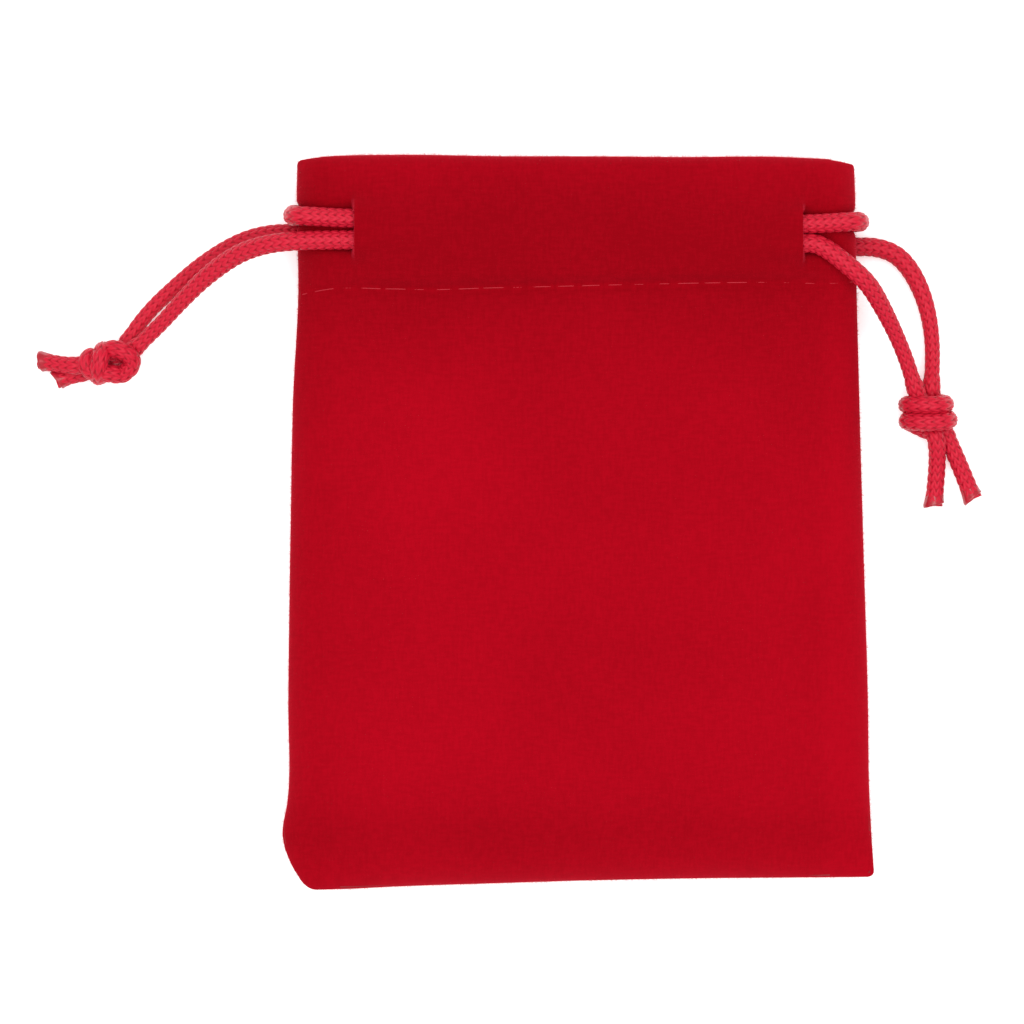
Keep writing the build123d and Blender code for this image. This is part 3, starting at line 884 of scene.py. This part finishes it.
def on_surface(piece, spots, above):
    """Drops places onto a finished piece from above or below it."""
    mesh = piece.data
    tree = BVHTree.FromPolygons([v.co for v in mesh.vertices], [p.vertices for p in mesh.polygons])
    height = 0.05 if above else -0.05
    hits = [tree.ray_cast(Vector((x, y, height)), Vector((0, 0, -height))) for x, y in spots]
    return [hit[0] for hit in hits if hit[0] is not None]


# Materials


def feed(tree, socket, part):
    """Gives an input another node's output, a colour or a number."""
    if isinstance(part, bpy.types.NodeSocket):
        tree.links.new(part, socket)
    else:
        socket.default_value = part


def node(tree, kind, place, **values):
    """A new node of a kind, with some of its settings and its inputs' values or links."""
    made = tree.nodes.new(kind)
    made.location = place
    for key, value in values.items():
        label = key.replace("_", " ")
        if label in made.inputs:
            feed(tree, made.inputs[label], value)
        else:
            setattr(made, key, value)
    return made


def calculate(tree, operation, place, *parts, use_clamp=False):
    """The result of a Math node on numbers and other nodes' outputs."""
    made = node(tree, "ShaderNodeMath", place, operation=operation, use_clamp=use_clamp)
    for socket, part in zip(made.inputs, parts):
        feed(tree, socket, part)
    return made.outputs[0]


def spread(tree, place, value, low, high, to_low=0.0, to_high=1.0):
    """A value whose useful range is stretched onto another."""
    made = node(tree, "ShaderNodeMapRange", place, Value=value, From_Min=low, From_Max=high,
                To_Min=to_low, To_Max=to_high)
    return made.outputs["Result"]


def mixed(tree, place, share, first, second):
    """A colour between two others, by a share."""
    made = node(tree, "ShaderNodeMix", place, data_type="RGBA", Factor=share)
    feed(tree, made.inputs[6], first)
    feed(tree, made.inputs[7], second)
    return made.outputs[2]


def noise_on(tree, place, source, scale, detail, roughness, stretch=None):
    """Noise over a vector of places, stretched where the pattern runs one way."""
    if stretch:
        beside = (place[0] - 200, place[1])
        source = node(tree, "ShaderNodeMapping", beside, Vector=source, Scale=stretch).outputs[0]
    made = node(tree, "ShaderNodeTexNoise", place, Vector=source, Scale=scale, Detail=detail,
                Roughness=roughness)
    return made.outputs["Fac"]


def group_tree(name, inputs, outputs):
    """An empty shader node group with named sockets."""
    tree = bpy.data.node_groups.new(name, "ShaderNodeTree")
    for label, kind, value in inputs:
        socket = tree.interface.new_socket(name=label, in_out="INPUT", socket_type=kind)
        if value is not None:
            socket.default_value = value
    for label, kind in outputs:
        tree.interface.new_socket(name=label, in_out="OUTPUT", socket_type=kind)
    given, out = tree.nodes.new("NodeGroupInput"), tree.nodes.new("NodeGroupOutput")
    return tree, given.outputs, out.inputs


def pile_group():
    """Velvet's colour and height: fine ribs, patches and standing fibres, with the colour run from the
    pile's own towards a lit copy by painted sheen and shade that follow the lie of the pile.
    """
    if "Velvet pile" in bpy.data.node_groups:
        return bpy.data.node_groups["Velvet pile"]
    tree, given, out = group_tree(
        "Velvet pile",
        [("Place", "NodeSocketVector", None), ("Pile", "NodeSocketColor", (0.4, 0, 0, 1)),
         ("Brushed", "NodeSocketColor", (0.5, 0, 0, 1)), ("Rib depth", "NodeSocketFloat", 0.35),
         ("Nap", "NodeSocketFloat", 0.5)],
        [("Color", "NodeSocketColor"), ("Height", "NodeSocketFloat")],
    )
    place = given["Place"]
    rows = noise_on(tree, (-700, 250), place, 1.0, 3.0, 0.6, stretch=(7.0, 24.0, 1.0))
    wales = noise_on(tree, (-700, 500), place, 1.0, 3.0, 0.6, stretch=(27.0, 6.0, 1.0))
    patches = noise_on(tree, (-700, 0), place, 0.55, 4.0, 0.55)
    fibres = noise_on(tree, (-700, -250), place, 95.0, 2.0, 0.7)
    crossed = calculate(tree, "ADD", (-560, 400), rows, wales)
    ribs = spread(tree, (-480, 250), crossed, 0.82, 1.18)
    rib_depth = calculate(tree, "MULTIPLY", (-280, 250), ribs, given["Rib depth"])
    patch = spread(tree, (-480, 0), patches, 0.32, 0.70, -0.12, 0.12)
    uneven = calculate(tree, "ADD", (-120, 120), rib_depth, patch)
    tone_and_sheen = calculate(tree, "ADD", (-40, 200), uneven, given["Nap"])
    grain = calculate(tree, "MULTIPLY_ADD", (-280, -250), fibres, 0.35, -0.17)
    share = calculate(tree, "ADD", (40, 40), tone_and_sheen, grain, use_clamp=True)
    # Painted sheen: the colour runs from the pile's own colour to its lit copy.
    feed(tree, out["Color"], mixed(tree, (220, 40), share, given["Pile"], given["Brushed"]))
    height = calculate(tree, "MULTIPLY_ADD", (60, -200), fibres, 0.6, rib_depth)
    feed(tree, out["Height"], height)
    return tree


def yarn_group():
    """Fine fibres along a yarn, as a pattern of light and dark."""
    if "Yarn fibres" in bpy.data.node_groups:
        return bpy.data.node_groups["Yarn fibres"]
    tree, given, out = group_tree(
        "Yarn fibres",
        [("Place", "NodeSocketVector", None), ("Scale", "NodeSocketFloat", 8.0)],
        [("Fibre", "NodeSocketFloat")],
    )
    feed(tree, out["Fibre"], noise_on(tree, (-300, 0), given["Place"], given["Scale"], 3.0, 0.65))
    return tree


def opaque(colour, share=1.0):
    """A colour, or a darker share of it, with full alpha."""
    return (*(share * part for part in colour), 1.0)


def material(name):
    """The pouch's material of a name, made when it is first asked for."""
    if name in bpy.data.materials:
        return bpy.data.materials[name]
    made = bpy.data.materials.new(name)
    made.use_nodes = True
    MATERIALS[name](made.node_tree)
    return made


def place_in(tree, unrolled):
    """Places along a piece's UV map where it is unrolled, or else in the object."""
    if unrolled:
        return node(tree, "ShaderNodeUVMap", (-900, -200), uv_map="UVMap").outputs["UV"]
    return node(tree, "ShaderNodeTexCoord", (-900, -200)).outputs["Object"]


def fibres_in(tree, scale, unrolled=False):
    """The pattern of a yarn's fibres at a scale."""
    place = place_in(tree, unrolled)
    made = node(tree, "ShaderNodeGroup", (-650, -200), node_tree=yarn_group(), Scale=scale, Place=place)
    return made.outputs["Fibre"]


def finish_shader(tree, colour, bump=None, **values):
    """Gives a material's shader its colour, its bump as (height, strength, depth), and the rest."""
    shader = next(n for n in tree.nodes if n.type == "BSDF_PRINCIPLED")
    feed(tree, shader.inputs["Base Color"], colour)
    if bump:
        height, strength, depth = bump
        relief = node(tree, "ShaderNodeBump", (-250, -350), Strength=strength, Distance=depth,
                      Height=height)
        feed(tree, shader.inputs["Normal"], relief.outputs["Normal"])
    for label, value in values.items():
        shader.inputs[label.replace("_", " ")].default_value = value


def velvet(tree):
    """Dense short pile: matt from above, with painted sheen at the edges and painted sheen and shade
    where the pile lies towards or away from the light.
    """
    cloth = settings("pouch_cloth")
    # This attribute holds each place's painted sheen and shade.
    nap = node(tree, "ShaderNodeAttribute", (-900, 0), attribute_name="nap")
    pile = node(tree, "ShaderNodeGroup", (-650, 0), node_tree=pile_group(),
                Place=place_in(tree, unrolled=True), Pile=opaque(cloth.pile),
                Brushed=opaque(cloth.pile_lit), Rib_depth=0.30, Nap=nap.outputs["Fac"])
    # Painted sheen: towards grazing angles the colour turns to the pile's colour at the edges.
    facing = node(tree, "ShaderNodeLayerWeight", (-650, 250), Blend=0.26)
    edge = calculate(tree, "POWER", (-480, 250), facing.outputs["Facing"], 2.0)
    colour = mixed(tree, (-300, 150), edge, pile.outputs["Color"], opaque(cloth.rim_sheen))
    finish_shader(tree, colour, (pile.outputs["Height"], 0.35, 0.0002), Roughness=0.95,
                  Specular_IOR_Level=0.04, Sheen_Weight=0.03, Sheen_Roughness=0.35,
                  Sheen_Tint=(1.0, 0.35, 0.42, 1.0))


def loose_fibres(tree):
    """Single fibres of pile with the light coming through them."""
    cloth = settings("pouch_cloth")
    fibres = fibres_in(tree, 1500.0)
    # Painted sheen: the fibres take the lit and edge colours of the pile.
    colour = mixed(tree, (-300, 100), fibres, opaque(cloth.pile_lit), opaque(cloth.rim_sheen))
    finish_shader(tree, colour, Roughness=0.7)


def velvet_backing(tree):
    """The smooth knitted back of the velvet."""
    cloth = settings("pouch_cloth")
    fibres = fibres_in(tree, 26.0, unrolled=True)
    colour = mixed(tree, (-300, 100), fibres, opaque(cloth.backing, 0.6), opaque(cloth.backing))
    finish_shader(tree, colour, Roughness=0.8)


def knitted(tree):
    """Shiny synthetic yarn, with painted highlight on the stitches and painted shade between them."""
    cord = settings("pouch_cord")
    fibres = fibres_in(tree, 7.0, unrolled=True)
    relief = node(tree, "ShaderNodeAttribute", (-900, 100), attribute_name="relief")
    rise = spread(tree, (-650, 100), relief.outputs["Fac"], 0.10, 0.85, -0.25, 0.75)
    share = calculate(tree, "MULTIPLY_ADD", (-450, 0), fibres, 0.5, rise, use_clamp=True)
    # Painted highlight and shade: the colour runs from the shaded yarn to the lit yarn with the
    # stitches' relief.
    colour = mixed(tree, (-250, 60), share, opaque(cord.deep), opaque(cord.light))
    finish_shader(tree, colour, (fibres, 0.5, 0.00008), Roughness=0.34,
                  Specular_IOR_Level=0.30, Specular_Tint=(1.0, 0.40, 0.46, 1.0))


def sewing_thread(tree):
    """Twisted polyester thread."""
    thread = settings("pouch_thread")
    fibres = fibres_in(tree, 5000.0)
    colour = mixed(tree, (-300, 100), fibres, opaque(thread.colour, 0.55), opaque(thread.colour))
    finish_shader(tree, colour, Roughness=0.5, Specular_IOR_Level=0.2)


def sealed(tree):
    """Cord melted shut: its colours run together and it is glossier than the knitted yarn."""
    cord = settings("pouch_cord")
    fibres = fibres_in(tree, 1600.0)
    colour = mixed(tree, (-300, 100), fibres, opaque(cord.deep), opaque(cord.light))
    finish_shader(tree, colour, (fibres, 0.4, 0.0001), Roughness=0.3)


def paper(tree):
    """A plain white floor with a trace of tone."""
    stage = settings("pouch_stage")
    grain = noise_on(tree, (-650, 0), place_in(tree, unrolled=False), 900.0, 2.0, 0.5)
    colour = mixed(tree, (-300, 100), grain, opaque(stage.floor, 0.99), opaque(stage.floor))
    finish_shader(tree, colour, Roughness=0.9, Emission_Color=(1.0, 1.0, 1.0, 1.0),
                  Emission_Strength=0.35)


MATERIALS = {
    "pile velvet": velvet,
    "velvet backing": velvet_backing,
    "loose pile": loose_fibres,
    "knitted cord": knitted,
    "sewing thread": sewing_thread,
    "sealed cord": sealed,
    "paper": paper,
}


# Operators


def stand_for(nodes):
    """Hides the nodes that a piece stands for."""
    if nodes:
        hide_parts(*nodes)


def on_body(piece, body, slot, *nodes):
    """Rides a piece on a body, in the place of some nodes."""
    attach(piece, body)
    stand_for(nodes)


def to_the_side(piece, name, side, slot, *nodes):
    """Bakes a piece's transform into its mesh and hides the nodes that it stands for."""
    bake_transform(piece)
    stand_for(nodes)


def lay_cord():
    """Reads the cord's diameter and does nothing more."""
    settings("pouch_cord").diameter


class POUCH_OT_stage(bpy.types.Operator):
    """Sets the camera, the light and the floor"""

    bl_idname = "pouch.stage"
    bl_label = "Stage"

    def execute(self, context):
        stage = settings("pouch_stage")
        scene = context.scene
        scene.view_settings.view_transform = "Standard"
        bm = bmesh.new()
        bmesh.ops.create_grid(bm, x_segments=2, y_segments=2, size=1.5)
        floor = to_object("floor", bm, [material("paper")])

        cloth_level = CASING_TOP * 0.8
        lens = bpy.data.cameras.new("camera")
        lens.lens = lens.sensor_width * (stage.camera_height - cloth_level) / stage.seen_width
        camera = bpy.data.objects.new("camera", lens)
        camera.location = (*SEEN_MIDDLE, stage.camera_height)
        scene.collection.objects.link(camera)
        scene.camera = camera

        light = bpy.data.lights.new("overhead", "AREA")
        light.shape = "DISK"
        light.size = 1.4
        light.energy = 17.0
        lamp = bpy.data.objects.new("overhead", light)
        lamp.location = (0.0, 0.05, 1.3)
        scene.collection.objects.link(lamp)
        world = bpy.data.worlds.new("world")
        scene.world = world
        world.use_nodes = True
        sky = world.node_tree.nodes["Background"]
        sky.inputs["Color"].default_value = (1.0, 1.0, 1.0, 1.0)
        sky.inputs["Strength"].default_value = 0.62
        return {"FINISHED"}


class POUCH_OT_cords(bpy.types.Operator):
    """Makes both drawcords, with their knots and their sealed ends"""

    bl_idname = "pouch.cords"
    bl_label = "Drawcords"

    def execute(self, context):
        for name, _ in SIDES:
            slim = partial(drawn_thin, middle=CORDS[name]["knot"])
            for face in FACES:
                line = spline_line(tail_route(name, face))
                piece, spots = knitted_cord(f"{name}_{face}_strand", line, slim=slim)
                end = cord_end(f"{name}_{face}_sealed_end", line, slim)
                nodes, tips = [f"{name}_cord_{face}_tail", f"{name}_cord_{face}_end"], []
                if face == "front":
                    nodes.append(name + "_knot")
                    tips.append(name + "_sealed_tips")
                on_body(piece, name + "_drawcord", "cord", *nodes)
                on_body(end, name + "_drawcord", "sealed_cord", *tips)
                lay_cord()
            line = spline_line(loop_route(name))
            piece, spots = knitted_cord(f"{name}_cord_round_the_mouth", line, crossing_squash)
            nodes = [f"{name}_cord_{part}" for part in ("front_run", "back_run", "loop")]
            on_body(piece, name + "_drawcord", "cord", *nodes)
            lay_cord()
        return {"FINISHED"}


class POUCH_OT_panels(bpy.types.Operator):
    """Makes the front and back panels, each in two halves"""

    bl_idname = "pouch.panels"
    bl_label = "Panels"

    def execute(self, context):
        for face in FACES:
            for name, side in SIDES:
                piece = panel_half(f"{face}_panel_{name}", face, side)
                to_the_side(piece, name, side, "velvet", face + "_panel", name + "_side_strip")
                fringe = loose_pile(f"{face}_loose_pile_{name}", piece, LOOSE_FIBRES)
                to_the_side(fringe, name, side, "velvet")
        return {"FINISHED"}


class POUCH_OT_stitching(bpy.types.Operator):
    """Sews the hems and the seams"""

    bl_idname = "pouch.stitching"
    bl_label = "Stitching"

    def execute(self, context):
        radius = settings("pouch_thread").radius
        for face in FACES:
            for name, side in SIDES:
                xs = side * np.arange(0.0, 0.0344, 0.4 * MM)
                places = [(x, float(through(HEM_LINE, x))) for x in xs]
                cloth = bpy.data.objects[f"{face}_panel_{name}"]
                places = on_surface(cloth, places, face == "front")
                up = (0, 0, 1 if face == "front" else -1)
                row = thread_row(f"{face}_hem_thread_{name}", places, up, radius)
                to_the_side(row, name, side, "thread", face + "_hem_stitching")
        for name, side in SIDES:
            ys = np.arange(-0.038, 0.026, 0.5 * MM)
            outs = edge_at(side, ys) - 0.4 * MM
            places = np.stack([side * outs, ys, seam_height(ys)], axis=1)
            row = thread_row(f"{name}_side_thread", places, (side, 0, 0), 0.8 * radius)
            on_body(row, name + "_side", "thread", name + "_side_stitching")
            xs = side * np.arange(0.0, 0.030, 0.5 * MM)
            ys = through(BOTTOM_EDGE, xs) + 0.4 * MM
            places = np.stack([xs, ys, seam_height(ys)], axis=1)
            row = thread_row(f"bottom_thread_{name}", places, (0, -1, 0), 0.8 * radius)
            to_the_side(row, name, side, "thread", "bottom_stitching")
        return {"FINISHED"}


class POUCH_PT_panel(bpy.types.Panel):
    """Shows the pouch's operators and settings"""

    bl_label = "Drawstring gift pouch"
    bl_idname = "POUCH_PT_panel"
    bl_space_type = "VIEW_3D"
    bl_region_type = "UI"
    bl_category = "Pouch"

    def draw(self, context):
        for kind in OPERATORS:
            self.layout.operator(kind.bl_idname)
        for name in SETTINGS:
            box = self.layout.box()
            group = getattr(context.scene, name)
            for key in group.__annotations__:
                box.prop(group, key)


SETTINGS = {
    "pouch_cloth": ClothSettings,
    "pouch_cord": CordSettings,
    "pouch_thread": ThreadSettings,
    "pouch_stage": StageSettings,
}
OPERATORS = (POUCH_OT_stage, POUCH_OT_cords, POUCH_OT_panels, POUCH_OT_stitching)


def register():
    for kind in (*SETTINGS.values(), *OPERATORS, POUCH_PT_panel):
        bpy.utils.register_class(kind)
    for name, kind in SETTINGS.items():
        setattr(bpy.types.Scene, name, bpy.props.PointerProperty(type=kind))


def unregister():
    for name in SETTINGS:
        delattr(bpy.types.Scene, name)
    for kind in (POUCH_PT_panel, *reversed(OPERATORS), *reversed(list(SETTINGS.values()))):
        bpy.utils.unregister_class(kind)


def main():
    register()
    bpy.ops.pouch.stage()
    bpy.ops.pouch.cords()
    bpy.ops.pouch.panels()
    bpy.ops.pouch.stitching()


if __name__ == "__main__":
    main()
